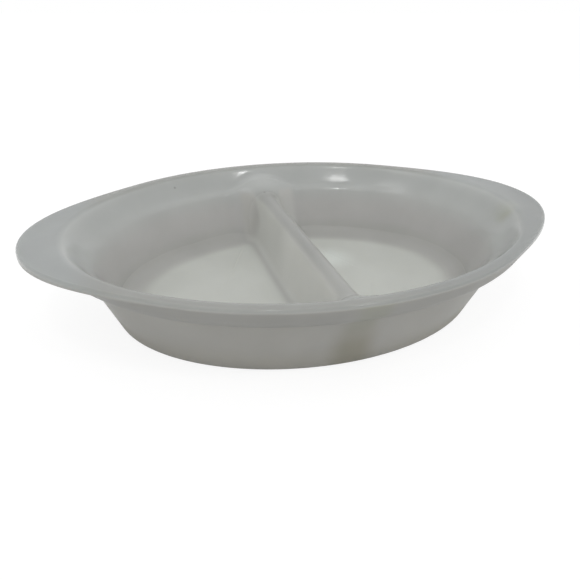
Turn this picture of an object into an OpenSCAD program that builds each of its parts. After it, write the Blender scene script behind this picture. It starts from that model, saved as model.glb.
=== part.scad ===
// Divided serving dish in pressed opal glass.
// Oval body on a low foot, flared rim drawn out into two flat end tabs,
// and one straight divider across the middle. The origin is on the table,
// under the centre of the dish. X runs through the tabs, Y along the divider.

/* [Overall] */
// Length from tab tip to tab tip
dish_len = 305; // [280:1:340]
// Width over the rim, along the divider
dish_w = 215.4; // [196:0.2:240]
// Height from the table to the crest of the rim
dish_h = 51; // [47:0.5:62]

/* [Rim and tabs] */
// Width of the rim outside the crease, along the two long sides
rim_w = 12.7; // [12:0.1:15]
// Reach of an end tab outside the crease, at its tip
tab_reach = 29; // [22:0.5:34]
// Angle of the outline's normal to the long axis at which a tab has faded out
tab_spread = 57.5; // [50:0.5:70]
// Drop from the crest to the outer crease between wall and rim
crease_drop = 15.2; // [15:0.1:18]
// Thickness of the lip's edge along the sides
lip_t = 2.6; // [2.4:0.1:3.6]
// Thickness of a tab's edge at its tip
tab_t = 4.6; // [4:0.1:6]
// Width of the lip, from its outer edge to the flare
lip_w = 6.2; // [5.5:0.1:7]
// Fall of the lip from its crest to the flare
lip_fall = 0.5; // [0.3:0.1:1.2]
// Swell of the flare's outer face beyond a straight line from the crease to the lip
flare_swell = 3; // [2:0.1:3.4]

/* [Body] */
// Lean of the wall from upright, in degrees
wall_draft = 22.6; // [20:0.2:26]
// Thickness of the wall, square to it
wall_t = 5.2; // [4.6:0.1:6]
// Thickness of the floor above the foot
floor_t = 4; // [3:0.1:6]
// Radius outside, between wall and underside
base_r = 1.5; // [1:0.1:1.6]
// Radius inside, between wall and floor
floor_r = 8; // [6:0.5:9]

/* [Ledge] */
// Drop from the crest to the inner ledge
ledge_drop = 13.3; // [13:0.1:14]
// Width of the ledge at the foot of the flare
ledge_w = 2.5; // [2.2:0.1:3]
// Rise of the ledge over its width
ledge_rise = 0.2; // [0.1:0.1:0.4]
// Radius of the ledge's inner edge
ledge_r = 3; // [2:0.2:3.2]
// Radius in the corner between ledge and flare
cove_r = 1.6; // [1:0.1:2]
// Depth of the shoulder ring below the ledge
shoulder_below = 4.7; // [4:0.1:6]
// Height of the shoulder ring above the ledge
shoulder_above = 1.5; // [1.3:0.1:2]

/* [Foot] */
// Height of the resting ring under the floor
foot_h = 0.5; // [0.4:0.1:1.5]
// Width of the resting ring
foot_w = 8; // [5:0.5:12]
// Distance from where wall and underside would meet in to the resting ring
foot_step = 1.3; // [1.2:0.1:2]
// Distance from where they would meet in to the floor plate
wall_under = 9; // [8:0.5:12]

/* [Divider] */
// Drop from the crest to the top of the divider
ridge_drop = 13.5; // [13.5:0.5:24]
// Radius of the divider's rounded top
ridge_r = 6; // [4:0.5:8]
// Lean of the divider's sides from upright, in degrees
divider_draft = 12; // [6:1:16]
// Radius between the divider and the floor
divider_foot_r = 5; // [3:0.5:8]
// Distance inside the crease at which the top begins to sweep up to the rim
sweep_run = 17; // [12:0.5:24]
// Radius of that sweep
sweep_r = 34; // [30:1:44]
// Distance inside the crease at which the sides begin to spread
spread_run = 35; // [25:1:45]
// Share by which the divider is wider where its length crosses the crease
spread_share = 0.5; // [0.2:0.05:0.8]

/* [Hidden] */
opal = [0.66, 0.67, 0.64];
opal_dark = [0.59, 0.60, 0.57];

// Columns round the oval, and steps in each rounded corner of a section
columns = 96;
corner_steps = 4;
edge_steps = 7;
// Columns in an eighth and in a quarter of the oval
eighth = columns / 8;
quarter = columns / 4;
overrun = 5;

// The crease is an ellipse, and every section lies along its normals
crease_a = dish_len / 2 - tab_reach;
crease_b = dish_w / 2 - rim_w;
crease_z = dish_h - crease_drop;
floor_z = foot_h + floor_t;
ledge_z = dish_h - ledge_drop;
shoulder_z = ledge_z - shoulder_below;
flare_z = ledge_z + shoulder_above;
ridge_z = dish_h - ridge_drop;
lip_r = lip_t / 2;
right_angle = 90;

// Distance outside the crease of the wall's two faces at a height
function wall_out(z) = -(crease_z - z) * tan(wall_draft);
function wall_in(z) = wall_out(z) - wall_t / cos(wall_draft);

// Named corners of the section at the middle of a long side, as [outside the crease, height]
base_corner = [wall_out(foot_h), foot_h];
floor_corner = [wall_in(floor_z), floor_z];
wall_inner_end = base_corner[0] - wall_under;
ledge_corner = [wall_in(ledge_z), ledge_z];
cove_corner = [ledge_corner[0] + ledge_w, ledge_z + ledge_rise];
lip_inner = [rim_w - lip_w, dish_h - lip_fall];
lip_under = [rim_w - lip_r, dish_h - lip_t];
crease_corner = [0, crease_z];

function on_line(p, q, z) = [p[0] + (q[0] - p[0]) * (z - p[1]) / (q[1] - p[1]), z];
function unit(v) = v / norm(v);

// Points of the arc that rounds the corner at p, between the lines to a and to b
function rounded(a, p, b, r, steps) =
    let (u = unit(a - p), v = unit(b - p),
         half = acos(u * v) / 2,
         middle = p + unit(u + v) * r / sin(half),
         from = p + u * r / tan(half) - middle,
         to = p + v * r / tan(half) - middle,
         turn = acos(unit(from) * unit(to)),
         side = sign(from[0] * to[1] - from[1] * to[0]))
    [for (i = [0:steps])
        let (w = side * turn * i / steps)
        middle + [from[0] * cos(w) - from[1] * sin(w), from[0] * sin(w) + from[1] * cos(w)]];

// A section point that stays with the crease, and one that moves out with the tab
function fixed(p) = concat(p, 0);
function moving(p) = concat(p, 1);

flare_in_low = on_line(cove_corner, lip_inner, flare_z);

// Outer face of the flare, a parabola from 0 at the crease to 1 under the lip
flare_line = unit(lip_under - crease_corner);
function flare_out(t) =
    crease_corner + t * (lip_under - crease_corner)
    + 4 * t * (1 - t) * flare_swell * [flare_line[1], -flare_line[0]];

// Shares of the way up it: where the ledge's part ends, where the lip begins, and the lip's knee
flare_low_share = 0.3;
lip_low_share = 0.7;
lip_knee_share = 0.85;
// Share of the tab's extra reach by which the knee moves out
knee_follow_share = 0.4;
flare_steps = 3;

// Inner faces, from the top down
ledge_face = concat(
    rounded(lip_inner, cove_corner, ledge_corner, cove_r, corner_steps / 2),
    rounded(cove_corner, ledge_corner, floor_corner, ledge_r, corner_steps));
floor_face = concat(
    rounded(ledge_corner, floor_corner, [wall_inner_end, floor_z], floor_r, corner_steps),
    [[wall_inner_end, floor_z]]);

// Closed sections, each walked up its outer side and down its inner side
wall_section = [for (p = concat(
    [[wall_inner_end, foot_h]],
    rounded([wall_inner_end, foot_h], base_corner, crease_corner, base_r, corner_steps),
    [[wall_out(shoulder_z), shoulder_z], [wall_in(shoulder_z), shoulder_z]],
    floor_face)) fixed(p)];
ledge_section = [for (p = concat(
    [[wall_out(shoulder_z), shoulder_z], crease_corner],
    [for (i = [1:flare_steps]) flare_out(flare_low_share * i / flare_steps)],
    [flare_in_low],
    ledge_face,
    [[wall_in(shoulder_z), shoulder_z]])) fixed(p)];
flare_section = [for (p = concat(
    [for (i = [0:flare_steps])
        flare_out(flare_low_share + (lip_low_share - flare_low_share) * i / flare_steps)],
    [lip_inner, flare_in_low])) fixed(p)];

// The lip's edge is round, from its underside over the crest towards the flare
lip_middle = [rim_w - lip_r, dish_h - lip_r];
lip_turn = 210;
lip_section = concat(
    [fixed(flare_out(lip_low_share)), concat(flare_out(lip_knee_share), knee_follow_share)],
    [for (i = [0:edge_steps])
        let (w = -right_angle + lip_turn * i / edge_steps)
        moving(lip_middle + lip_r * [cos(w), sin(w)])],
    [fixed(lip_inner)]);

// Growth of the tab at a normal angle, from 1 at its tip to 0 along the sides,
// with the extra reach and the extra thickness that it gives
function tab_growth(w) =
    let (off_axis = asin(abs(sin(w))))
    off_axis < tab_spread ? cos(right_angle * off_axis / tab_spread) : 0;
function tab_extra(w) = (tab_reach - rim_w) * pow(tab_growth(w), 2);
function tab_stretch(w) = (tab_t / lip_t - 1) * tab_growth(w);

// Point of the ellipse with a given normal, and a section point set out along that normal,
// where the lip also thickens downwards from its crest
function crease(w) =
    [crease_a * crease_a * cos(w), crease_b * crease_b * sin(w)]
    / norm([crease_a * cos(w), crease_b * sin(w)]);
function set_out(w, s) =
    let (p = crease(w) + (s[0] + s[2] * tab_extra(w)) * [cos(w), sin(w)])
    [p[0], p[1], s[1] - s[2] * tab_stretch(w) * (dish_h - s[1])];
function oval(d) =
    [for (c = [0:columns - 1])
        let (w = 360 * c / columns)
        crease(w) + d * [cos(w), sin(w)]];

// Sweeps a closed section through the columns from first to last, with ends where it stops
module swept(section, first, last) {
    m = len(section);
    whole = last - first == columns;
    n = last - first + (whole ? 0 : 1);
    points = [for (c = [0:n - 1]) for (s = section) set_out(360 * (first + c) / columns, s)];
    sides = [for (c = [0:n - (whole ? 1 : 2)]) for (j = [0:m - 1])
        let (e = (c + 1) % n, k = (j + 1) % m)
        for (t = [[c * m + j, c * m + k, e * m + k], [c * m + j, e * m + k, e * m + j]]) t];
    ends = whole ? [] : [[for (j = [m - 1:-1:0]) j], [for (j = [0:m - 1]) (n - 1) * m + j]];
    polyhedron(points, concat(sides, ends), convexity = 8);
}

module foot_ring() {
    color(opal_dark)
    linear_extrude(foot_h)
    difference() {
        polygon(oval(base_corner[0] - foot_step));
        polygon(oval(base_corner[0] - foot_step - foot_w));
    }
}

module floor_plate() {
    color(opal)
    translate([0, 0, foot_h])
    linear_extrude(floor_t)
    polygon(oval(wall_inner_end));
}

module bowl_wall() {
    color(opal_dark) swept(wall_section, 0, columns);
}

module lid_ledge() {
    color(opal) swept(ledge_section, 0, columns);
}

module flared_rim() {
    color(opal_dark) swept(flare_section, 0, columns);
}

// Sectors of the lip: the tabs lie across the long axis, the lips between them
module back_lip() {
    color(opal) swept(lip_section, eighth, eighth + quarter);
}

module left_handle() {
    color(opal) swept(lip_section, eighth + quarter, eighth + 2 * quarter);
}

module front_lip() {
    color(opal) swept(lip_section, eighth + 2 * quarter, eighth + 3 * quarter);
}

module right_handle() {
    color(opal) swept(lip_section, -eighth, eighth);
}

// Half of the divider's section on the floor: side fillet, leaning side and round top
ridge_middle = ridge_z - ridge_r;
side_top = [ridge_r * cos(divider_draft), ridge_middle + ridge_r * sin(divider_draft)];
side_foot = [side_top[0] + (side_top[1] - floor_z) * tan(divider_draft), floor_z];
foot_flat = [side_foot[0] + 2 * divider_foot_r, floor_z];
divider_half = concat(
    rounded(foot_flat, side_foot, side_top, divider_foot_r, corner_steps),
    [for (i = [0:corner_steps - 1])
        let (w = divider_draft + (right_angle - divider_draft) * i / corner_steps)
        [ridge_r * cos(w), ridge_middle + ridge_r * sin(w)]]);
divider_outline = concat(
    divider_half,
    [[0, ridge_z]],
    [for (i = [len(divider_half) - 1:-1:0]) [-divider_half[i][0], divider_half[i][1]]]);

// Places along half of the divider, close together where its ends sweep up
sweep_y = crease_b - sweep_run;
spread_y = crease_b - spread_run;
divider_end = crease_b + lip_inner[0];
sweep_steps = 7;
half_places = concat([0, spread_y / 2, spread_y, (spread_y + sweep_y) / 2],
    [for (i = [0:sweep_steps]) sweep_y + (divider_end - sweep_y) * i / sweep_steps]);
places = concat(
    [for (i = [len(half_places) - 1:-1:1]) -half_places[i]],
    half_places);

function sweep_rise(y) = abs(y) > sweep_y ? pow(abs(y) - sweep_y, 2) / (2 * sweep_r) : 0;
function spread(y) = abs(y) > spread_y
    ? 1 + spread_share * pow((abs(y) - spread_y) / spread_run, 2)
    : 1;
function height_share(z) = (z - floor_z) / (ridge_z - floor_z);

module divider_bar() {
    m = len(divider_outline);
    n = len(places);
    points = [for (y = places) for (p = divider_outline)
        [p[0] * spread(y), y, p[1] + sweep_rise(y) * height_share(p[1])]];
    sides = [for (c = [0:n - 2]) for (j = [0:m - 1])
        let (e = c + 1, k = (j + 1) % m)
        for (t = [[c * m + j, e * m + j, e * m + k], [c * m + j, e * m + k, c * m + k]]) t];
    ends = [[for (j = [0:m - 1]) j], [for (j = [m - 1:-1:0]) (n - 1) * m + j]];
    polyhedron(points, concat(sides, ends), convexity = 8);
}

// Everything outside the inner faces, as far out as this
outside_end = rim_w + 2 * overrun;
// Columns it takes up on either side of each end of the divider
end_reach = 4;
outside_section = [for (p = concat(
    [[wall_inner_end, -overrun], [outside_end, -overrun], [outside_end, dish_h + overrun],
     [lip_inner[0], dish_h + overrun], lip_inner],
    [flare_in_low], ledge_face, [[wall_in(shoulder_z), shoulder_z]], floor_face)) fixed(p)];

module divider() {
    color(opal)
    difference() {
        divider_bar();
        swept(outside_section, quarter - end_reach, quarter + end_reach);
        swept(outside_section, 3 * quarter - end_reach, 3 * quarter + end_reach);
    }
}

foot_ring();
floor_plate();
bowl_wall();
lid_ledge();
flared_rim();
front_lip();
back_lip();
left_handle();
right_handle();
divider();
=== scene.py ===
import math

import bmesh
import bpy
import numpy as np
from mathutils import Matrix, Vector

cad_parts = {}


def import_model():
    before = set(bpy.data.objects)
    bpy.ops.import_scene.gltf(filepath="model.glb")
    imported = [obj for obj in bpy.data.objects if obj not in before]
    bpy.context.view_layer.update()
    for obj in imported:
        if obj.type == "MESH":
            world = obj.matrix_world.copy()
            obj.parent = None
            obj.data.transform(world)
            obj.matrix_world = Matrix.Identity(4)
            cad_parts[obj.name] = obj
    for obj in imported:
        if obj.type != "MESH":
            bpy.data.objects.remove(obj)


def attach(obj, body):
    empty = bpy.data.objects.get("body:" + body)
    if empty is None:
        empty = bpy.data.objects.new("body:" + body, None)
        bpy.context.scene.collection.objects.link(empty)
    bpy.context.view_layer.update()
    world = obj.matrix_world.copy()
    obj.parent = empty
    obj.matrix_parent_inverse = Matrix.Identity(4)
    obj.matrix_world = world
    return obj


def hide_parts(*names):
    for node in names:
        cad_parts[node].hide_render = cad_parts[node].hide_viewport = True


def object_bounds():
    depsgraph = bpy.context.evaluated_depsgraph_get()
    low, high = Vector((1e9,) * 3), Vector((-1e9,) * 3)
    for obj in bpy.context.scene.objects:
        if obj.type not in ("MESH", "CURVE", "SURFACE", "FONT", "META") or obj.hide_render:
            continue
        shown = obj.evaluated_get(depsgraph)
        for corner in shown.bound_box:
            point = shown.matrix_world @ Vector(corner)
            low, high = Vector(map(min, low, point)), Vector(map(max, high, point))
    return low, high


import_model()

# Divided serving dish in pressed opal glass, on a plain white table.
# The dish is one pressing, so its visible surface is one closed mesh, which stands for all the CAD
# nodes.
# Lengths are in millimetres and turned into metres where Blender gets them, except those of the
# table and the lamps, which are in metres.

MM = 0.001
cad_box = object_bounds()

# Overall sizes, from the frame
HALF_LEN, HALF_W, HEIGHT = np.array(cad_box[1]) / MM

# Section sizes, the same as the solids have
RIM_W = 12.7
TAB_REACH = 29.0
TAB_SPREAD = math.radians(57.5)
CREASE_DROP = 15.2
LIP_T = 2.6
TAB_T = 4.6
LIP_W = 6.2
LIP_FALL = 0.5
FLARE_SWELL = 3.0
WALL_DRAFT = math.radians(22.6)
WALL_T = 5.2
FLOOR_T = 4.0
BASE_R = 1.5
FLOOR_R = 8.0
LEDGE_DROP = 13.3
LEDGE_W = 2.5
LEDGE_RISE = 0.2
LEDGE_R = 3.0
COVE_R = 1.6
FOOT_H = 0.5
FOOT_W = 8.0
FOOT_STEP = 1.3
RIDGE_DROP = 13.5
RIDGE_R = 6.0
DIVIDER_DRAFT = math.radians(12)
SWEEP_RUN = 17.0
SWEEP_R = 34.0
SPREAD_RUN = 35.0
SPREAD_SHARE = 0.5

# Softness of the pressed shapes: how far the ledge is rubbed smooth along the sides and at the
# ends, the radius of the hollow between the divider and the wall, and the rounding of the edge
# between the flare and a tab
LEDGE_SOFT = 2.0
END_SOFT = 5.0
JOIN_R = 17.0
JOIN_FADE = 10.0
TAB_CORNER = 4.5
# How deep the inner face of the flare is hollowed between its ends
FLARE_HOLLOW = 0.15
# How late the outer face of the flare turns out under a tab
FLARE_FOLLOW = 5.5
# Rounding of the crease outside and of the foot's edges, and how far the foot's sides lean in
CREASE_R = 5.0
FOOT_R = 0.2
FOOT_LEAN = 0.3

CREASE_A = HALF_LEN - TAB_REACH
CREASE_B = HALF_W - RIM_W
CREASE_Z = HEIGHT - CREASE_DROP
FLOOR_Z = FOOT_H + FLOOR_T
LEDGE_Z = HEIGHT - LEDGE_DROP
RIDGE_Z = HEIGHT - RIDGE_DROP
RIGHT_ANGLE = math.pi / 2

# The lip's outer edge: half its thickness, its rounding above and below, and the drop to its lower
# corner
LIP_R = LIP_T / 2
SHOULDER_R = 1.2
UNDER_R = 1.2
UNDER_DROP = 2.1


def wall_out(z):
    """How far the wall's outer face lies outside the crease, at a height."""
    return -(CREASE_Z - z) * math.tan(WALL_DRAFT)


def wall_in(z):
    """How far the wall's inner face lies outside the crease, at a height."""
    return wall_out(z) - WALL_T / math.cos(WALL_DRAFT)


def smooth(t):
    """0 up to 0 and 1 from 1 on, with a smooth change between them."""
    t = np.clip(t, 0, 1)
    return t * t * (3 - 2 * t)


def bow(t):
    """0 at both ends and 1 in the middle."""
    return 4 * t * (1 - t)


def rounded(a, p, b, r, steps):
    """Points of the arc that rounds the corner at p between the lines to a and b."""
    a, p, b = (np.array(q, float) for q in (a, p, b))
    u = (a - p) / np.linalg.norm(a - p)
    v = (b - p) / np.linalg.norm(b - p)
    half = math.acos(float(u @ v)) / 2
    middle = p + (u + v) / np.linalg.norm(u + v) * r / math.sin(half)
    start = p + u * r / math.tan(half) - middle
    end = p + v * r / math.tan(half) - middle
    turn = math.acos(float(np.clip(start @ end / r ** 2, -1, 1)))
    side = np.sign(start[0] * end[1] - start[1] * end[0])
    angles = side * turn * np.linspace(0, 1, steps + 1)
    return [middle + (start[0] * c - start[1] * s, start[0] * s + start[1] * c)
            for c, s in zip(np.cos(angles), np.sin(angles))]


def between(p, q, count):
    """count points strictly between p and q."""
    p, q = np.array(p, float), np.array(q, float)
    return [p + (q - p) * i / (count + 1) for i in range(1, count + 1)]


# Corners of the section at the middle of a long side, as (outside the crease, height)
BASE = (wall_out(FOOT_H), FOOT_H)
FLOOR = (wall_in(FLOOR_Z), FLOOR_Z)
LEDGE = (wall_in(LEDGE_Z), LEDGE_Z)
COVE = (LEDGE[0] + LEDGE_W, LEDGE_Z + LEDGE_RISE)
LIP_INNER = (RIM_W - LIP_W, HEIGHT - LIP_FALL)
LIP_UNDER = (RIM_W - LIP_R, HEIGHT - LIP_T)
CREASE = (0.0, CREASE_Z)


# Spacing of the points on which corners are rubbed smooth, and how far a rub reaches, in times its
# distance
SOFT_STEP = 0.6
SOFT_REACH = 2.7


def softened(points, reach):
    """The same line with its corners rubbed smooth over a distance, and with its ends kept."""
    points = np.array(points)
    run = np.concatenate([[0], np.cumsum(np.linalg.norm(np.diff(points, axis=0), axis=1))])
    even = np.arange(0, run[-1], SOFT_STEP)
    line = np.stack([np.interp(even, run, points[:, i]) for i in (0, 1)], 1)
    wide = round(SOFT_REACH * reach / SOFT_STEP)
    side = np.arange(-wide, wide + 1)
    weight = np.exp(-(side * SOFT_STEP / reach) ** 2 / 2)
    weight /= weight.sum()
    longer = np.vstack([2 * line[0] - line[wide:0:-1], line, 2 * line[-1] - line[-2:-wide - 2:-1]])
    return np.stack([np.convolve(longer[:, i], weight, "valid") for i in (0, 1)], 1)


# Places down the outer face of the flare, from where the lip's edge runs into it to the crease
FLARE_SHARES = [0.66, 0.58, 0.5, 0.42, 0.34, 0.27]


def flare_out(t):
    """Outer face of the flare, from 0 at the crease to 1 under the lip."""
    low, high = np.array(CREASE), np.array(LIP_UNDER)
    along = (high - low) / np.linalg.norm(high - low)
    return low + t * (high - low) + bow(t) * FLARE_SWELL * np.array((along[1], -along[0]))


# The inner face is followed down to this height, below the floor that cuts it off
WALL_DEEP = -12.0
# Steps of the flare's hollow, and of the rounded corners at the ledge's outer and inner edge
HOLLOW_STEPS = 12
COVE_STEPS = 8
LEDGE_STEPS = 14


def wall_profile(soft):
    """Inner face from the lip down past the floor, as points (outside the crease, height)."""
    top = np.array(LIP_INNER)
    cove = rounded(LIP_INNER, COVE, LEDGE, COVE_R, COVE_STEPS)
    run = cove[0] - top
    into_glass = np.array((-run[1], run[0])) / np.linalg.norm(run)
    shares = np.linspace(0, 1, HOLLOW_STEPS + 1)[:-1]
    line = [top + t * run + bow(t) * FLARE_HOLLOW * into_glass for t in shares] + cove
    line += rounded(COVE, LEDGE, FLOOR, LEDGE_R, LEDGE_STEPS)
    line += [np.array((wall_in(WALL_DEEP), WALL_DEEP))]
    return softened(line, soft)


SIDE_WALL = wall_profile(LEDGE_SOFT)
END_WALL = wall_profile(END_SOFT)


def blend(a, b, r):
    """Distance from two faces joined by a hollow of radius r."""
    return np.maximum(r, np.minimum(a, b)) - np.hypot(np.maximum(r - a, 0), np.maximum(r - b, 0))


def crease_point(angle):
    """Point of the crease's ellipse with a normal at that angle, and the normal."""
    n = np.stack([np.cos(angle), np.sin(angle)], -1)
    p = np.stack([CREASE_A ** 2 * n[..., 0], CREASE_B ** 2 * n[..., 1]], -1)
    return p / np.hypot(CREASE_A * n[..., 0], CREASE_B * n[..., 1])[..., None], n


def set_out(angle, d):
    """Point at a distance outside the crease, along the normal at that angle."""
    p, n = crease_point(angle)
    return p + np.asarray(d)[..., None] * n


def tab_growth(angle):
    """1 at the tips of the tabs, falling to 0 along the sides."""
    off_axis = np.arcsin(np.abs(np.sin(angle)))
    return np.where(off_axis < TAB_SPREAD, np.cos(RIGHT_ANGLE * off_axis / TAB_SPREAD), 0.0)


# Angle off the long axis at which the ledge starts to be rubbed away, and the angle over which it
# goes, in degrees
END_START = 62
END_FADE = 24


def end_share(angle):
    """1 round the ends of the dish, where the ledge is rubbed away, and 0 along the sides."""
    off_axis = np.degrees(np.arcsin(np.abs(np.sin(angle))))
    return smooth((END_START - off_axis) / END_FADE)


# Reach of the rounded edge where there is no tab, just over 0 so that it can be divided by
NO_CORNER = 0.001


def corner_drop(beyond, growth):
    """How far the rounded edge of flare and tab lies below a sharp one, a distance beyond it."""
    rise = (LIP_INNER[1] - COVE[1]) / (LIP_INNER[0] - COVE[0])
    reach = np.maximum(TAB_CORNER * growth, NO_CORNER)
    return rise * np.clip(reach - np.abs(beyond), 0, None) ** 2 / (4 * reach)


def distance_outside(x, y, rounds=40):
    """Distance outside the crease of points near the long sides, by bisection of their angle."""
    ax, ay = np.abs(x), np.abs(y)
    low, high = np.full_like(ax, 0.0), np.full_like(ax, RIGHT_ANGLE)
    for _ in range(rounds):
        mid = (low + high) / 2
        p, n = crease_point(mid)
        turn = n[..., 0] * (ay - p[..., 1]) - n[..., 1] * (ax - p[..., 0])
        low = np.where(turn > 0, mid, low)
        high = np.where(turn > 0, high, mid)
    p, n = crease_point((low + high) / 2)
    return (ax - p[..., 0]) * n[..., 0] + (ay - p[..., 1]) * n[..., 1]


# How far out and up the inner face is taken to run on past the lip
PAST_LIP = 40


def wall_clearance(d, z, wall):
    """Distance of points from the wall's inner face, negative inside the glass."""
    best = np.full(d.shape, np.inf)
    line = np.vstack([[LIP_INNER[0] + PAST_LIP, LIP_INNER[1] + PAST_LIP], wall])
    for (x0, z0), (x1, z1) in zip(line[:-1], line[1:]):
        dx, dz = x1 - x0, z1 - z0
        t = np.clip(((d - x0) * dx + (z - z0) * dz) / (dx * dx + dz * dz), 0, 1)
        best = np.minimum(best, np.hypot(d - x0 - t * dx, z - z0 - t * dz))
    return np.where(z > np.interp(d, line[::-1, 0], line[::-1, 1]), best, -best)


def divider_clearance(x, y, z):
    """Distance of points from the divider's round top and leaning sides, negative inside it.

    Towards its ends the divider spreads and its top sweeps up to the rim.
    """
    past_sweep = np.maximum(np.abs(y) - (CREASE_B - SWEEP_RUN), 0)
    past_spread = np.maximum(np.abs(y) - (CREASE_B - SPREAD_RUN), 0)
    swept = past_sweep ** 2 / (2 * SWEEP_R)
    spread = 1 + SPREAD_SHARE * (past_spread / SPREAD_RUN) ** 2
    middle = RIDGE_Z - RIDGE_R + swept
    x = np.abs(x) / spread
    side = x * math.cos(DIVIDER_DRAFT) + (z - middle) * math.sin(DIVIDER_DRAFT) - RIDGE_R
    on_top = (z - middle) * math.cos(DIVIDER_DRAFT) > x * math.sin(DIVIDER_DRAFT)
    return np.where(on_top, np.hypot(x, z - middle) - RIDGE_R, side)


# The inner surface is sought between these heights, by halving, this many times
SEEK_LOW = FLOOR_Z - 1.0
SEEK_HIGH = HEIGHT + 5.0
SEEK_ROUNDS = 20
# Distance from the divider's middle up to which its hollows can reach
DIVIDER_REACH = 45


def inner_height(x, y, d, end):
    """Height of the inner surface, on which wall, divider and floor meet in rounded hollows."""
    join = JOIN_R * np.clip((LIP_INNER[0] - d) / JOIN_FADE, 0, 1)
    low = np.full(len(x), SEEK_LOW)
    high = np.full(len(x), SEEK_HIGH)
    for _ in range(SEEK_ROUNDS):
        mid = (low + high) / 2
        at_side, at_end = wall_clearance(d, mid, SIDE_WALL), wall_clearance(d, mid, END_WALL)
        upright = (1 - end) * at_side + end * at_end
        near = np.abs(x) < DIVIDER_REACH
        joined = blend(upright, divider_clearance(x, y, mid), join)
        open_air = blend(np.where(near, joined, upright), mid - FLOOR_Z, FLOOR_R)
        low = np.where(open_air > 0, low, mid)
        high = np.where(open_air > 0, mid, high)
    return (low + high) / 2


# Rings of the inner surface, from the ridge and the lip in to the flat floor.
# Each pairs a distance from the divider's middle with a distance outside the crease.
RING_X = [0, 1.2, 2.4, 3.5, 4.5, 5.3, 5.9, 6.4, 6.9, 7.4, 7.9, 8.4, 8.9, 9.4, 9.9,
          10.3, 10.7, 11.1, 11.5, 11.9, 12.4, 12.9, 13.5, 14.1, 14.8, 15.6, 16.5, 17.5, 19.0, 21.0]
FLARE_STEPS = 6
WALL_STEPS = 5
# Rings round the corners of the section: out from the cove, to both sides of the ledge's corner,
# down from that and up from the floor's corner, and in from the floor's corner
COVE_RINGS = (0.7, 0.1, -0.5)
LEDGE_REACH = 1.3
LEDGE_RINGS = 6
WALL_START = 1.5
FILLET_START = 2.6
FILLET_END = 5.9
FILLET_RINGS = 8
FLOOR_RINGS = (7.4, 9.4)


def ring_offsets():
    """Distances of the rings outside the crease, close together where the bowl is rounded."""
    flare_foot, *cove = (COVE[0] + gap for gap in COVE_RINGS)
    d = list(np.linspace(LIP_INNER[0], flare_foot, FLARE_STEPS + 1)) + cove
    d += list(np.linspace(LEDGE[0] + LEDGE_REACH, LEDGE[0] - LEDGE_REACH, LEDGE_RINGS))
    wall_top, wall_foot = LEDGE[0] - WALL_START, FLOOR[0] + FILLET_START
    d += list(np.linspace(wall_top, wall_foot, WALL_STEPS + 2)[1:-1])
    d += list(np.linspace(wall_foot, FLOOR[0] - FILLET_END, FILLET_RINGS))
    d += [FLOOR[0] - gap for gap in FLOOR_RINGS]
    return d


RING_D = ring_offsets()
# Half the steps of a ring along the divider, and the power that crowds them at its ends
LINE_HALF = 30
LINE_CROWDING = 1.9
# Steps of a ring round the lip: their length next to the divider and far from it, how far from the
# divider it starts to grow, and over what distance it does
ARC_NEAR = 1.3
ARC_FAR = 3.4
ARC_GROW_FROM = 18
ARC_GROW_OVER = 30
# Samples on which those steps are measured out, and on which a ring's corner is found
ARC_SAMPLES = 4001
CORNER_SAMPLES = 3001
# Rings on the flat floor, as shares of the last ring round it
FLOOR_SHARES = [0.86, 0.7, 0.53, 0.36, 0.18]
# Points this near the flare's upper edge lie on it
ON_LIP = 0.01


def line_shares():
    """Places along the divider from -1 to 1, close together where its ends meet the wall."""
    t = np.linspace(0, 1, LINE_HALF + 1)
    half = 1 - (1 - t) ** LINE_CROWDING
    return np.concatenate([-half[::-1], half[1:]])


def arc_angles():
    """Normal angles round half of the lip, close together next to the divider."""
    fine = np.linspace(RIGHT_ANGLE, -RIGHT_ANGLE, ARC_SAMPLES)
    p = set_out(fine, LIP_INNER[0])
    step = np.linalg.norm(np.diff(p, axis=0), axis=1)
    x = np.abs(p[1:, 0] + p[:-1, 0]) / 2
    spacing = ARC_NEAR + (ARC_FAR - ARC_NEAR) * smooth((x - ARC_GROW_FROM) / ARC_GROW_OVER)
    steps = np.concatenate([[0], np.cumsum(step / spacing)])
    count = 2 * round(steps[-1] / 2)
    return np.interp(np.linspace(0, steps[-1], count + 1), steps, fine)


LINE = line_shares()
ARC = arc_angles()


def ring_points(x, d, side):
    """One closed ring beside the divider: its points, their distances and the normals' angles."""
    table = np.linspace(0, RIGHT_ANGLE, CORNER_SAMPLES)
    plan_x = set_out(table, d)[:, 0]
    corner = float(np.interp(-x, -plan_x, table))
    reach = float(set_out(np.array(corner), d)[1])
    straight = np.stack([np.full(len(LINE), float(x)), LINE * reach], 1)
    angles = ARC * corner / RIGHT_ANGLE
    curve = set_out(angles, d)[1:-1]
    plan = np.vstack([straight, curve])
    beside = distance_outside(straight[:, 0], straight[:, 1])
    offset = np.concatenate([beside, np.full(len(curve), float(d))])
    plan[:, 0] *= side
    return plan, offset, np.concatenate([np.full(len(LINE), RIGHT_ANGLE), angles[1:-1]])


def ring_faces(rows, count):
    """Faces between rows of count vertices each, and a fan from the last row to one more vertex."""
    faces = []
    for k in range(rows - 1):
        for m in range(count):
            n = (m + 1) % count
            faces.append((k * count + m, k * count + n, (k + 1) * count + n, (k + 1) * count + m))
    last = (rows - 1) * count
    faces += [(last + m, last + (m + 1) % count, rows * count) for m in range(count)]
    return faces


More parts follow.
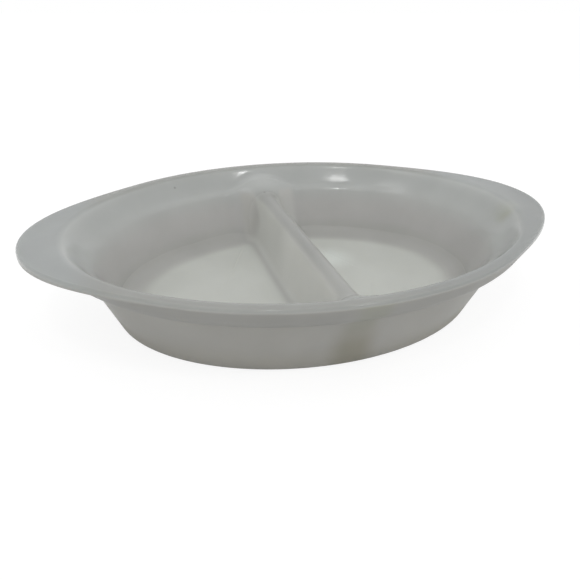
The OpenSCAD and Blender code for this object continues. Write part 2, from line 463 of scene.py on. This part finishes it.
def inner_side(side):
    """Vertices and faces of the inner surface on one side of the divider."""
    rings = [ring_points(x, d, side) for x, d in zip(RING_X, RING_D)]
    verts = []
    for plan, offset, angle in rings:
        z = inner_height(plan[:, 0], plan[:, 1], offset, end_share(angle))
        z[offset > LIP_INNER[0] - ON_LIP] = LIP_INNER[1]
        z -= corner_drop(offset - LIP_INNER[0], tab_growth(angle))
        verts.append(np.column_stack([plan, z]))
    last = verts[-1]
    middle = last.mean(0)
    for share in FLOOR_SHARES:
        verts.append(middle + (last - middle) * share)
    faces = ring_faces(len(verts), len(last))
    if side > 0:
        faces = [f[::-1] for f in faces]
    return np.vstack(verts + [middle[None]]), faces


# Steps of the section's rounded corners and straight runs
LIP_STEPS = 12
SHOULDER_STEPS = 7
UNDER_STEPS = 6
SLOPE_STEPS = 5
CREASE_STEPS = 6
OUTSIDE_STEPS = 8
BASE_STEPS = 8
FOOT_STEPS = 3
# Share of the lip's width at which it has its full height along the sides
CREST_SHARE = 0.6
# How deep a tab dips between the flare and its edge, and the share of its width at which that ends
TAB_DIP = 0.3
DIP_SHARE = 0.9
# Rings of the recess under the floor, as shares of the foot's inner edge
RECESS_SHARES = (0.75, 0.5, 0.25)


def lip_profile():
    """Section from the flare over the lip's crest and edge and down the flare's outer face.

    Each point is (outside the crease, height, share that moves out with a tab, height at its tip).
    """
    start = np.array(LIP_INNER)
    crest = np.array((RIM_W - SHOULDER_R, HEIGHT))
    points = []
    rise = crest[1] - start[1]
    for i in range(LIP_STEPS):
        t = i / LIP_STEPS
        bend = float(smooth(t))
        d = start[0] + (crest[0] - start[0]) * t
        z = start[1] + rise * math.sin(RIGHT_ANGLE * min(1, t / CREST_SHARE))
        z_tip = start[1] - TAB_DIP * math.sin(math.pi * min(1, t / DIP_SHARE)) + rise * bend
        points.append((d, z, bend, z_tip))
    for i in range(SHOULDER_STEPS + 1):
        w = RIGHT_ANGLE * (1 - i / SHOULDER_STEPS)
        z = HEIGHT - SHOULDER_R * (1 - math.sin(w))
        points.append((RIM_W - SHOULDER_R * (1 - math.cos(w)), z, 1.0, z))
    joint = flare_out(FLARE_SHARES[0])
    shoulder, under = (RIM_W, HEIGHT - SHOULDER_R), (RIM_W, HEIGHT - UNDER_DROP)
    edge = rounded(shoulder, under, joint, UNDER_R, UNDER_STEPS)
    points += [(d, z, 1.0, z) for d, z in edge]
    for i, (d, z) in enumerate(between(edge[-1], joint, SLOPE_STEPS)):
        t = 1 + (FLARE_SHARES[0] - 1) * (i + 1) / (SLOPE_STEPS + 1)
        points.append((d, z, t ** FLARE_FOLLOW, z))
    for t in FLARE_SHARES:
        d, z = flare_out(t)
        points.append((d, z, t ** FLARE_FOLLOW, z))
    return points


def outer_profile():
    """Section of the whole outer face, from the lip to the recess under the floor."""
    points = lip_profile()
    ring_out = BASE[0] - FOOT_STEP
    ring_in = ring_out - FOOT_W
    foot_top, foot_out = (ring_out, FOOT_H), (ring_out - FOOT_LEAN, 0)
    foot_in, foot_end = (ring_in + FOOT_LEAN, 0), (ring_in, FOOT_H)
    recess = (ring_in - FOOT_W, FOOT_H)
    below = rounded(flare_out(FLARE_SHARES[-1]), CREASE, BASE, CREASE_R, CREASE_STEPS)
    base = rounded(CREASE, BASE, foot_top, BASE_R, BASE_STEPS)
    below += between(below[-1], base[0], OUTSIDE_STEPS) + base
    below += rounded(base[-1], foot_top, foot_out, FOOT_R, FOOT_STEPS)
    below += rounded(foot_top, foot_out, foot_in, FOOT_R, FOOT_STEPS)
    below += between(foot_out, foot_in, 1)
    below += rounded(foot_out, foot_in, foot_end, FOOT_R, FOOT_STEPS)
    below += rounded(foot_in, foot_end, recess, FOOT_R, FOOT_STEPS)
    points += [(d, z, 0.0, z) for d, z in below + [recess]]
    return points


def outer_side():
    """Vertices and faces from the lip's inner edge round the outside to the underside's middle."""
    angles = np.concatenate([ARC[:-1], math.pi - ARC[::-1][:-1]])
    growth = tab_growth(angles)
    share = growth ** 2
    extra = (TAB_REACH - RIM_W) * share
    verts = []
    for k, (d, z, follow, z_tip) in enumerate(outer_profile()):
        offset = d + follow * extra
        height = z + (z_tip - z) * share
        if k < LIP_STEPS:
            height = height - corner_drop(offset - LIP_INNER[0], growth)
        else:
            height = height - follow * (TAB_T / LIP_T - 1) * growth * (HEIGHT - height)
        verts.append(np.column_stack([set_out(angles, offset), height]))
    last = verts[-1]
    verts += [last * (share, share, 1) for share in RECESS_SHARES]
    faces = [f[:1] + f[:0:-1] for f in ring_faces(len(verts), len(angles))]
    return np.vstack(verts + [np.array([[0, 0, FOOT_H]])]), faces


# Vertices nearer than this are one, and edges shorter than this are taken out, in metres
SAME_PLACE = 1e-6
NO_LENGTH = 1e-7


def mesh_object(name, parts):
    """One smooth, closed object from several lots of vertices and faces that share their edges."""
    verts, faces = [], []
    for points, polys in parts:
        base = sum(len(v) for v in verts)
        verts.append(points)
        faces += [tuple(base + i for i in f) for f in polys]
    mesh = bpy.data.meshes.new(name)
    mesh.from_pydata((np.vstack(verts) * MM).tolist(), [], faces)
    work = bmesh.new()
    work.from_mesh(mesh)
    bmesh.ops.remove_doubles(work, verts=work.verts, dist=SAME_PLACE)
    bmesh.ops.dissolve_degenerate(work, edges=work.edges, dist=NO_LENGTH)
    bmesh.ops.recalc_face_normals(work, faces=work.faces)
    for face in work.faces:
        face.smooth = True
    work.to_mesh(mesh)
    work.free()
    obj = bpy.data.objects.new(name, mesh)
    bpy.context.collection.objects.link(obj)
    return obj


# Camera, at the photograph's viewing angle: its picture in pixels, its sensor in millimetres, and
# its place round a point below the middle of the rim
IMAGE = 580
SENSOR = 36.0
FOCAL_PX = 536.1
VIEW_DOWN = math.radians(28.707)
VIEW_TURN = math.radians(17.534)
VIEW_ROLL = math.radians(-0.511)
VIEW_DISTANCE = 335.93
VIEW_SHIFT = (6.098, 0.937)
VIEW_AIM = 50.0


def camera():
    """The camera from which the photograph was taken."""
    down = Matrix.Rotation(RIGHT_ANGLE - VIEW_DOWN, 3, "X")
    turn = Matrix.Rotation(-VIEW_TURN, 3, "Z")
    roll = Matrix.Rotation(-VIEW_ROLL, 3, "Z")
    axes = turn @ down @ roll
    back = axes @ Vector((-VIEW_SHIFT[0], -VIEW_SHIFT[1], VIEW_DISTANCE))
    data = bpy.data.cameras.new("photo_camera")
    data.sensor_width = SENSOR
    data.lens = FOCAL_PX * SENSOR / IMAGE
    obj = bpy.data.objects.new("photo_camera", data)
    centre = Vector((0.0, 0.0, HEIGHT - VIEW_AIM))
    obj.matrix_world = Matrix.Translation((centre + back) * MM) @ axes.to_4x4()
    bpy.context.collection.objects.link(obj)
    bpy.context.scene.camera = obj


def new_material(name):
    """An empty material, with its nodes and links."""
    material = bpy.data.materials.new(name)
    material.use_nodes = True
    nodes = material.node_tree.nodes
    nodes.clear()
    return material, nodes, material.node_tree.links


# Scale and detail of the noise that makes a patch's edge uneven
PATCH_GRAIN = 260.0
PATCH_DETAIL = 2.0


class Maths:
    """Short ways to add the nodes that work out where on the dish a colour goes."""

    def __init__(self, nodes, links):
        self.nodes = nodes
        self.links = links

    def put(self, socket, value):
        """Link a socket to another one, or give it a fixed value."""
        if isinstance(value, bpy.types.NodeSocket):
            self.links.new(value, socket)
        else:
            socket.default_value = value

    def run(self, operation, *values):
        """One step of arithmetic."""
        node = self.nodes.new("ShaderNodeMath")
        node.operation = operation
        for socket, value in zip(node.inputs, values):
            self.put(socket, value)
        return node.outputs[0]

    def ramp(self, value, start, end):
        """0 at start and 1 at end, with a smooth change between them."""
        node = self.nodes.new("ShaderNodeMapRange")
        node.interpolation_type = "SMOOTHSTEP"
        low, high = min(start, end), max(start, end)
        node.inputs["From Min"].default_value = low
        node.inputs["From Max"].default_value = high
        node.inputs["To Min"].default_value = 0.0 if start < end else 1.0
        node.inputs["To Max"].default_value = 1.0 if start < end else 0.0
        self.put(node.inputs["Value"], value)
        return node.outputs[0]

    def fade(self, value, span):
        """0 at the first and 1 at the second of two lengths in millimetres."""
        return self.ramp(value, span[0] * MM, span[1] * MM)

    def product(self, *values):
        """All the values multiplied together."""
        out = values[0]
        for value in values[1:]:
            out = self.run("MULTIPLY", out, value)
        return out

    def square(self, value, unit):
        """The square of a length measured in a unit."""
        share = self.run("DIVIDE", value, unit)
        return self.run("MULTIPLY", share, share)

    def mix(self, share, first, second):
        """The first colour, with a share of the second."""
        node = self.nodes.new("ShaderNodeMix")
        node.data_type = "RGBA"
        self.put(node.inputs["Factor"], share)
        self.put(node.inputs["A"], first)
        self.put(node.inputs["B"], second)
        return node.outputs["Result"]

    def noise(self, place, scale, detail):
        """Cloudy noise between 0 and 1."""
        node = self.nodes.new("ShaderNodeTexNoise")
        node.inputs["Scale"].default_value = scale
        node.inputs["Detail"].default_value = detail
        self.links.new(place, node.inputs["Vector"])
        return node.outputs["Fac"]

    def patch(self, place, centre, reach, edge):
        """1 at a place on the dish, falling to 0 at reach, with an uneven edge."""
        gap = self.nodes.new("ShaderNodeVectorMath")
        gap.operation = "DISTANCE"
        self.links.new(place, gap.inputs[0])
        gap.inputs[1].default_value = [c * MM for c in centre]
        grain = self.noise(place, PATCH_GRAIN, PATCH_DETAIL)
        uneven = self.run("MULTIPLY_ADD", grain, edge * MM, gap.outputs["Value"])
        return self.fade(uneven, (reach + edge / 2, edge / 2))

    def paint(self, colour, place, patch, share, over):
        """A colour with a share of another over one patch of the dish."""
        return self.mix(self.product(share, self.patch(place, *patch)), colour, over)


# Half length and half width of the flat part of the floor, inside its fillet
FILLET_W = 5.4
FLOOR_HALF_LEN = CREASE_A + FLOOR[0] - FILLET_W
FLOOR_HALF_W = CREASE_B + FLOOR[0] - FILLET_W

# Colours of the glass: darkest at the rim and palest on floor and divider.
# TAB and LIP are near the glass's own colour; the others, apart from the smudge and the marks, are
# painted light and shade set by place, and the brown and olive also carry the tint of thicker
# glass.
TAB = (0.350, 0.366, 0.362, 1)
TAB_SHADED = (0.298, 0.311, 0.306, 1)
LIP = (0.333, 0.338, 0.323, 1)
# Painted light on the flare and the inner walls, with painted shade at the near right
FLARE = (0.452, 0.465, 0.454, 1)
FLARE_SHADED = (0.393, 0.405, 0.393, 1)
WELL = (0.465, 0.462, 0.451, 1)
WELL_FOOT = (0.425, 0.425, 0.407, 1)
# Painted light on the flat floor, and a painted pool of light on it
FLOOR_LIT = (0.566, 0.580, 0.544, 1)
FLOOR_LIGHT_POOL = (0.740, 0.780, 0.740, 1)
# Painted light on the divider's sides and foot, and painted shade on its top, both darker towards
# the far end
DIVIDER_SIDE = (0.637, 0.641, 0.608, 1)
DIVIDER_SIDE_FAR = (0.567, 0.573, 0.542, 1)
DIVIDER_TOP = (0.388, 0.393, 0.375, 1)
DIVIDER_TOP_FAR = (0.345, 0.350, 0.335, 1)
DIVIDER_FOOT = (0.560, 0.570, 0.540, 1)
# Painted shade and painted light in the hollows at the divider's far end
HOLLOW_SHADE = (0.470, 0.468, 0.445, 1)
HOLLOW_LIGHT = (0.520, 0.520, 0.500, 1)
# Painted light and shade on the outside
OUTSIDE_RIM = (0.463, 0.463, 0.442, 1)
OUTSIDE = (0.539, 0.536, 0.508, 1)
OUTSIDE_LOW = (0.525, 0.516, 0.474, 1)
# Painted shade where the divider meets the near wall, seen through the glass and tinted as thicker
# glass
SHADE_TINT_BROWN = (0.418, 0.405, 0.345, 1)
SHADE_TINT_OLIVE = (0.430, 0.440, 0.370, 1)
SMUDGE = (0.375, 0.385, 0.330, 1)
SMUDGE_HALO = (0.415, 0.425, 0.385, 1)
MARK = (0.160, 0.155, 0.140, 1)

# Where one colour passes into the next: the place with none of the next and the place with all of
# it, in millimetres. HEIGHT is above the table, AWAY is from the middle along the dish, ALONG is
# from the middle along the divider, X and Y are places on those two lines, and NEAR_RIGHT is x
# less y.
TAB_AWAY = (108, 128)
NEAR_RIGHT = (90, 180)
SHADED_HEIGHT = (30, 46)
FLARE_HEIGHT = (50.8, 49)
WELL_HEIGHT = (40, 24)
WELL_FOOT_HEIGHT = (18, 10)
FLOOR_HEIGHT = (7, 4.8)
DIVIDER_AWAY = (19, 12)
DIVIDER_ALONG = (88, 74)
DIVIDER_HEIGHT = (4.5, 9)
DIVIDER_TOP_Y = (-60, -20)
DIVIDER_SIDE_Y = (-2, 26)
DIVIDER_FOOT_HEIGHT = (10, 24)
HOLLOW_ALONG = (62, 72)
HOLLOW_FOOT_HEIGHT = (6, 12)
HOLLOW_TOP_HEIGHT = (40, 34)
HOLLOW_SHADE_X = ((-20, -15), (-7, -9))
HOLLOW_LIGHT_X = ((25, 19), (9, 12))
OUTSIDE_HEIGHT = (40, 34)
OUTSIDE_LOW_HEIGHT = (20, 2)
SHADE_TINT_Y = (-66, -74)
LOW_SHADE_TINT_X = (17, 3)
LOW_SHADE_TINT_HEIGHT = (38, 12)
HIGH_SHADE_TINT_X = (12, 3)
HIGH_SHADE_TINT_HEIGHT = (20, 30)
WORN_HEIGHT = (14, 9)
# The same as shares: of the flat floor's half length, and of how far up a surface faces
FLOOR_SPAN = (1.03, 0.90)
INNER_FACING = (-0.12, 0.12)
DIVIDER_FACING = (0.2, 0.95)

# Middle of the painted shade and tint where the divider meets the near wall, how much more it
# wanders than the other colours, and its upper part's share
SHADE_TINT_MIDDLE = -2
SHADE_TINT_BEND = 1.5
HIGH_SHADE_TINT_SHARE = 0.5
# Patches on the glass: middle, reach and unevenness of the edge, and share of the colour
# A painted pool of light on the floor right of the divider
LIGHT_POOL_PATCH = ((32.0, 30.0, 4.5), 22.0, 5.0)
LIGHT_POOL_SHARE = 0.7
HALO_PATCH = ((126.0, -18.0, 47.0), 13.0, 6.0)
HALO_SHARE = 0.6
SMUDGE_PATCH = ((122.5, -24.0, 45.8), 9.0, 4.0)
SMUDGE_SHARE = 0.8
MARK_PATCHES = (((-63.5, 85.2, 45.0), 1.4, 0.8), ((-1.2, 78.7, 38.1), 1.4, 0.8))
MARK_SHARE = 0.8
# Slow cloudiness, which moves the places above by up to half its drift, and a finer mottling
CLOUD_SCALE = 16.0
CLOUD_DETAIL = 2.0
CLOUD_DRIFT = 6.0
MOTTLE_SCALE = 34.0
MOTTLE_DETAIL = 4.0
MOTTLE_SPAN = (0.3, 0.7)
MOTTLE_DEPTH = 0.05

# Finish of the glass: glossy inside, and duller outside and where it is worn
ROUGH = 0.09
ROUGH_OUTSIDE = 0.22
ROUGH_WORN = 0.22
ROUGH_MOTTLE = 0.04
IOR_OUTSIDE = 1.1
IOR_INSIDE = 1.5
MIRROR_OUTSIDE = 0.12
MIRROR_INSIDE = 0.32
SCATTER = 0.6
SCATTER_RADIUS = (1.0, 0.97, 0.9)
SCATTER_SCALE = 0.008


def opal_glass():
    """Opaque white glass, coloured by place with painted light and shade, and with a smudge and
    marks.
    """
    material, nodes, links = new_material("opal_glass")
    m = Maths(nodes, links)
    output = nodes.new("ShaderNodeOutputMaterial")
    shader = nodes.new("ShaderNodeBsdfPrincipled")
    links.new(shader.outputs[0], output.inputs[0])
    coordinates = nodes.new("ShaderNodeTexCoord")
    place = coordinates.outputs["Object"]
    where = nodes.new("ShaderNodeSeparateXYZ")
    links.new(place, where.inputs[0])
    x, y, z = where.outputs
    facing = nodes.new("ShaderNodeSeparateXYZ")
    links.new(coordinates.outputs["Normal"], facing.inputs[0])
    cloud = m.noise(place, CLOUD_SCALE, CLOUD_DETAIL)
    drift = m.run("MULTIPLY_ADD", cloud, CLOUD_DRIFT * MM, -CLOUD_DRIFT / 2 * MM)
    height = m.run("ADD", z, drift)
    away = m.run("ADD", m.run("ABSOLUTE", x), drift)
    along = m.run("ABSOLUTE", y)
    facing_up = facing.outputs["Z"]
    inner = m.ramp(facing_up, *INNER_FACING)

    # Painted shade: the tab and the upper flare are darker towards the near right.
    near_right = m.fade(m.run("SUBTRACT", x, y), NEAR_RIGHT)
    top = m.mix(m.fade(away, TAB_AWAY), LIP, TAB)
    top = m.mix(near_right, top, TAB_SHADED)
    flare = m.mix(m.product(near_right, m.fade(z, SHADED_HEIGHT)), FLARE, FLARE_SHADED)
    colour = m.mix(m.fade(z, FLARE_HEIGHT), top, flare)
    # Painted light on the inner walls, darker again towards their foot.
    colour = m.mix(m.fade(height, WELL_HEIGHT), colour, WELL)
    colour = m.mix(m.fade(height, WELL_FOOT_HEIGHT), colour, WELL_FOOT)

    # Painted light on the flat floor, and a painted pool of light on it right of the divider.
    far_out = m.run("ADD", m.square(x, FLOOR_HALF_LEN * MM), m.square(y, FLOOR_HALF_W * MM))
    flat = m.product(m.fade(z, FLOOR_HEIGHT), m.ramp(m.run("SQRT", far_out), *FLOOR_SPAN))
    colour = m.mix(flat, colour, FLOOR_LIT)
    colour = m.paint(colour, place, LIGHT_POOL_PATCH, LIGHT_POOL_SHARE, FLOOR_LIGHT_POOL)

    # Painted light and shade on the divider: sides lit, level top shaded, foot lit, and sides and
    # top darker towards the far end, chosen by how far up a surface faces.
    divider = m.product(m.fade(away, DIVIDER_AWAY), m.fade(along, DIVIDER_ALONG),
                        m.fade(z, DIVIDER_HEIGHT))
    ridge_top = m.mix(m.fade(y, DIVIDER_TOP_Y), DIVIDER_TOP, DIVIDER_TOP_FAR)
    level_part = m.mix(m.fade(z, DIVIDER_FOOT_HEIGHT), DIVIDER_FOOT, ridge_top)
    side_part = m.mix(m.fade(y, DIVIDER_SIDE_Y), DIVIDER_SIDE, DIVIDER_SIDE_FAR)
    bar = m.mix(m.ramp(facing_up, *DIVIDER_FACING), side_part, level_part)
    colour = m.mix(divider, colour, bar)

    # Painted shade in the hollow left of the divider's far end, painted light in the one right of
    # it.
    upright = m.product(m.fade(z, HOLLOW_FOOT_HEIGHT), m.fade(z, HOLLOW_TOP_HEIGHT))
    at_end = m.product(m.fade(along, HOLLOW_ALONG), upright)
    for (left, right), over in ((HOLLOW_SHADE_X, HOLLOW_SHADE), (HOLLOW_LIGHT_X, HOLLOW_LIGHT)):
        colour = m.mix(m.product(at_end, m.fade(x, left), m.fade(x, right)), colour, over)

    # Painted light and shade outside: the outer face lighter, darker on the flare under the rim,
    # and a little darker and warmer towards the table.
    outside = m.mix(m.fade(height, OUTSIDE_HEIGHT), OUTSIDE_RIM, OUTSIDE)
    outside = m.mix(m.fade(height, OUTSIDE_LOW_HEIGHT), outside, OUTSIDE_LOW)
    # Painted shade of the divider's junction seen through the near wall, brown low down and olive
    # higher, with the tint of the thicker glass there.
    wander = m.product(drift, SHADE_TINT_BEND)
    from_shade_tint = m.run("ABSOLUTE", m.run("ADD", m.run("SUBTRACT", x, SHADE_TINT_MIDDLE * MM), wander))
    near_side = m.fade(y, SHADE_TINT_Y)
    high_shade_tint = m.product(HIGH_SHADE_TINT_SHARE, near_side, m.fade(from_shade_tint, HIGH_SHADE_TINT_X),
                           m.fade(z, HIGH_SHADE_TINT_HEIGHT))
    low_shade_tint = m.product(near_side, m.fade(from_shade_tint, LOW_SHADE_TINT_X),
                          m.fade(height, LOW_SHADE_TINT_HEIGHT))
    outside = m.mix(high_shade_tint, outside, SHADE_TINT_OLIVE)
    outside = m.mix(low_shade_tint, outside, SHADE_TINT_BROWN)

    colour = m.mix(inner, outside, colour)
    colour = m.paint(colour, place, HALO_PATCH, HALO_SHARE, SMUDGE_HALO)
    colour = m.paint(colour, place, SMUDGE_PATCH, SMUDGE_SHARE, SMUDGE)
    for patch in MARK_PATCHES:
        colour = m.paint(colour, place, patch, MARK_SHARE, MARK)
    mottle = m.ramp(m.noise(place, MOTTLE_SCALE, MOTTLE_DETAIL), *MOTTLE_SPAN)
    shade = m.run("MULTIPLY_ADD", mottle, MOTTLE_DEPTH, 1 - MOTTLE_DEPTH / 2)
    bright = nodes.new("ShaderNodeVectorMath")
    bright.operation = "SCALE"
    links.new(colour, bright.inputs[0])
    links.new(shade, bright.inputs["Scale"])
    links.new(bright.outputs[0], shader.inputs["Base Color"])

    worn = m.run("MAXIMUM", m.fade(z, WORN_HEIGHT), divider)
    rough = m.run("MULTIPLY_ADD", m.run("SUBTRACT", 1.0, inner), ROUGH_OUTSIDE, ROUGH)
    rough = m.run("MULTIPLY_ADD", worn, ROUGH_WORN, rough)
    rough = m.run("MULTIPLY_ADD", mottle, ROUGH_MOTTLE, rough)
    ior = m.run("MULTIPLY_ADD", inner, IOR_INSIDE - IOR_OUTSIDE, IOR_OUTSIDE)
    mirror = m.run("MULTIPLY_ADD", inner, MIRROR_INSIDE - MIRROR_OUTSIDE, MIRROR_OUTSIDE)
    links.new(rough, shader.inputs["Roughness"])
    links.new(ior, shader.inputs["IOR"])
    links.new(mirror, shader.inputs["Specular IOR Level"])
    shader.inputs["Subsurface Weight"].default_value = SCATTER
    shader.inputs["Subsurface Radius"].default_value = SCATTER_RADIUS
    shader.inputs["Subsurface Scale"].default_value = SCATTER_SCALE
    return material


# The table as it sends light on to the dish, and as it is seen: a little shaded by it, and glowing
TABLE_BOUNCE = (0.5, 0.5, 0.5, 1)
TABLE_SHADE = (0.2, 0.2, 0.2, 1)
TABLE_GLOW = 0.86
# Half the table's width, and how far it lies below the dish, in metres
TABLE_HALF = 6.0
TABLE_GAP = 0.0002


def table_material():
    """White to the eye and in reflections, with the dish's shadow; pale matt to bounced light."""
    material, nodes, links = new_material("white_table")
    m = Maths(nodes, links)
    output = nodes.new("ShaderNodeOutputMaterial")
    seen = nodes.new("ShaderNodeLightPath")
    direct = m.run("MAXIMUM", seen.outputs["Is Camera Ray"], seen.outputs["Is Glossy Ray"])
    clear = m.run("MAXIMUM", direct, seen.outputs["Is Transmission Ray"])
    matt = nodes.new("ShaderNodeBsdfDiffuse")
    matt.inputs["Color"].default_value = TABLE_BOUNCE
    shade = nodes.new("ShaderNodeBsdfDiffuse")
    shade.inputs["Color"].default_value = TABLE_SHADE
    glow = nodes.new("ShaderNodeEmission")
    glow.inputs["Strength"].default_value = TABLE_GLOW
    both = nodes.new("ShaderNodeAddShader")
    links.new(shade.outputs[0], both.inputs[0])
    links.new(glow.outputs[0], both.inputs[1])
    mix = nodes.new("ShaderNodeMixShader")
    links.new(clear, mix.inputs[0])
    links.new(matt.outputs[0], mix.inputs[1])
    links.new(both.outputs[0], mix.inputs[2])
    links.new(mix.outputs[0], output.inputs[0])
    return material


def stage():
    """A plain table under the dish."""
    mesh = bpy.data.meshes.new("table")
    corners = [(x * TABLE_HALF, y * TABLE_HALF, 0) for x, y in ((-1, -1), (1, -1), (1, 1), (-1, 1))]
    mesh.from_pydata(corners, [], [(0, 1, 2, 3)])
    floor = bpy.data.objects.new("table", mesh)
    floor.location.z = -TABLE_GAP
    bpy.context.collection.objects.link(floor)
    mesh.materials.append(table_material())


# Distance of the lamps in metres, and watts for each square metre of a lamp and unit of brightness
LAMP_DISTANCE = 1.6
LAMP_WATTS = 4


def area_light(name, bearing, height, size, brightness):
    """A rectangular lamp facing the dish, placed by its bearing and height as angles in degrees."""
    bearing, height = math.radians(bearing), math.radians(height)
    across = math.cos(height)
    away = Vector((math.cos(bearing) * across, math.sin(bearing) * across, math.sin(height)))
    data = bpy.data.lights.new(name, "AREA")
    data.shape = "RECTANGLE"
    data.size, data.size_y = size
    data.energy = LAMP_WATTS * brightness * size[0] * size[1]
    obj = bpy.data.objects.new(name, data)
    obj.location = away * LAMP_DISTANCE
    obj.rotation_euler = (-away).to_track_quat("-Z", "Y").to_euler()
    bpy.context.collection.objects.link(obj)


# Brightness of the air round the dish, at the horizon and overhead
SKY_LOW = 0.815
SKY_HIGH = 0.795
WHITE = (1, 1, 1, 1)


def world():
    """Even pale light from all round; seen directly it is plain white."""
    scene = bpy.context.scene
    scene.world = bpy.data.worlds.new("studio")
    scene.world.use_nodes = True
    nodes = scene.world.node_tree.nodes
    links = scene.world.node_tree.links
    nodes.clear()
    output = nodes.new("ShaderNodeOutputWorld")
    seen = nodes.new("ShaderNodeLightPath")
    place = nodes.new("ShaderNodeTexCoord")
    split = nodes.new("ShaderNodeSeparateXYZ")
    links.new(place.outputs["Generated"], split.inputs[0])
    level = nodes.new("ShaderNodeMapRange")
    level.inputs["From Min"].default_value = 0.0
    level.inputs["From Max"].default_value = 1.0
    level.inputs["To Min"].default_value = SKY_LOW
    level.inputs["To Max"].default_value = SKY_HIGH
    links.new(split.outputs["Z"], level.inputs["Value"])
    air = nodes.new("ShaderNodeBackground")
    air.inputs["Color"].default_value = WHITE
    links.new(level.outputs[0], air.inputs["Strength"])
    white = nodes.new("ShaderNodeBackground")
    white.inputs["Color"].default_value = WHITE
    white.inputs["Strength"].default_value = 1.0
    mix = nodes.new("ShaderNodeMixShader")
    links.new(seen.outputs["Is Camera Ray"], mix.inputs[0])
    links.new(air.outputs[0], mix.inputs[1])
    links.new(white.outputs[0], mix.inputs[2])
    links.new(mix.outputs[0], output.inputs[0])


camera()
dish = mesh_object("dish", [inner_side(1), inner_side(-1), outer_side()])
dish.data.materials.append(opal_glass())
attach(dish, "root")
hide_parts("foot_ring", "floor_plate", "bowl_wall", "lid_ledge", "flared_rim",
            "front_lip", "back_lip", "left_handle", "right_handle", "divider")

stage()
world()
area_light("front_lamp", bearing=251.7, height=62.7, size=(0.15, 0.26), brightness=11.0)
area_light("left_lamp", bearing=203, height=66, size=(0.35, 0.35), brightness=1.6)
area_light("right_lamp", bearing=298.5, height=51.5, size=(0.12, 0.14), brightness=24.0)

bpy.context.scene.view_settings.view_transform = "Standard"
